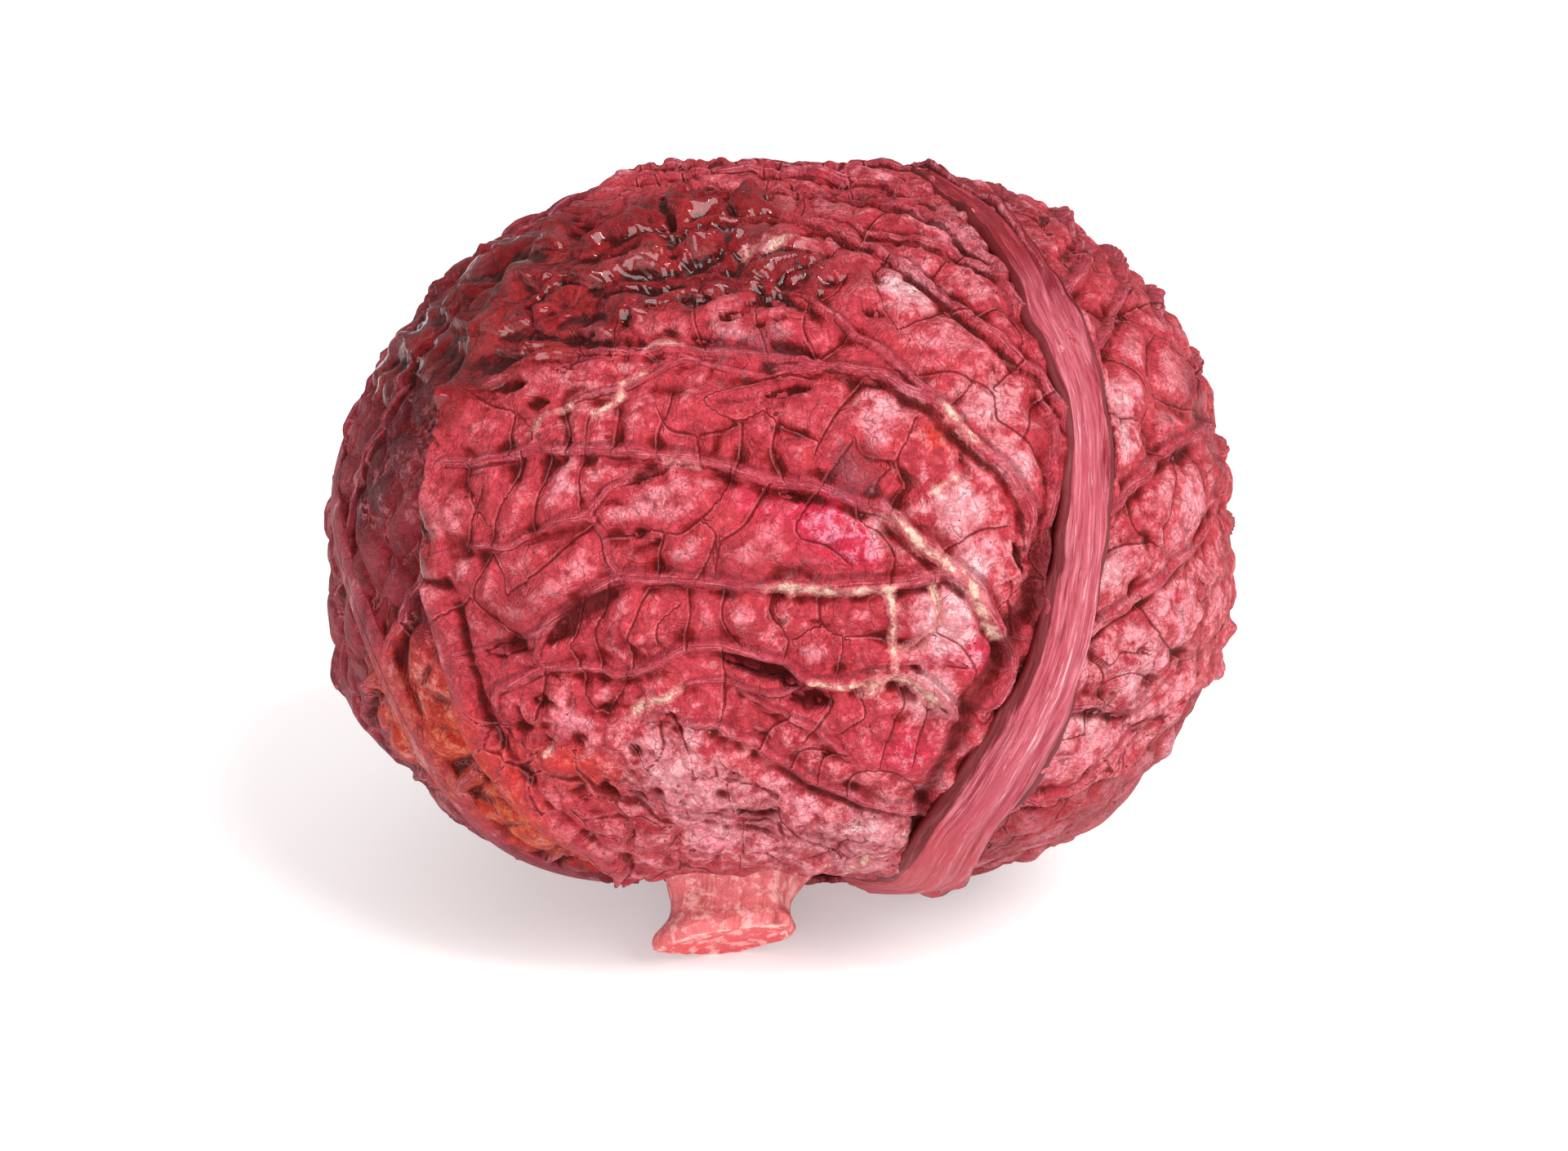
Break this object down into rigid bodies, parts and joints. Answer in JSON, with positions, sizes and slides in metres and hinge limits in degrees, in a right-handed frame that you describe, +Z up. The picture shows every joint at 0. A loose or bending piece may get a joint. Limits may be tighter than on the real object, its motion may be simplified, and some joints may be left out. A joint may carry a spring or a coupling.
{
  "type": "cabbage head",
  "caption": "Crinkled Savoy type cabbage head with broad ribbed wrapper leaves, a dense heart and its cut stalk, lying tipped forward on a small flat.",
  "frame": {"origin": "middle of the bounding box in plan, at the lowest point, on the surface the head lies on", "axes": "+Z up; +X to the right and along the widest side of the head as seen from the stalk's side; the stalk points to -Y and down"},
  "size_m": [0.1934, 0.181, 0.154],
  "materials": {
    "front_wrapper": "crinkled crimson leaf, waxy with wet patches",
    "dark_wrapper": "crinkled dark purple red leaf, wet",
    "side_wrapper": "crinkled pink red leaf, satin",
    "inner_wrapper": "crinkled red leaf, satin",
    "heart_leaves": "packed inner leaves, satin",
    "cut_stalk": "fibrous stalk with a plain cut"
  },
  "bodies": {
    "root": {"heart": "heart_leaves", "stalk": "cut_stalk", "crown_leaf": "inner_wrapper", "back_left_leaf": "inner_wrapper", "right_leaf": "side_wrapper", "left_leaf": "dark_wrapper", "back_leaf": "side_wrapper", "front_leaf": "front_wrapper"}
  },
  "joints": []
}
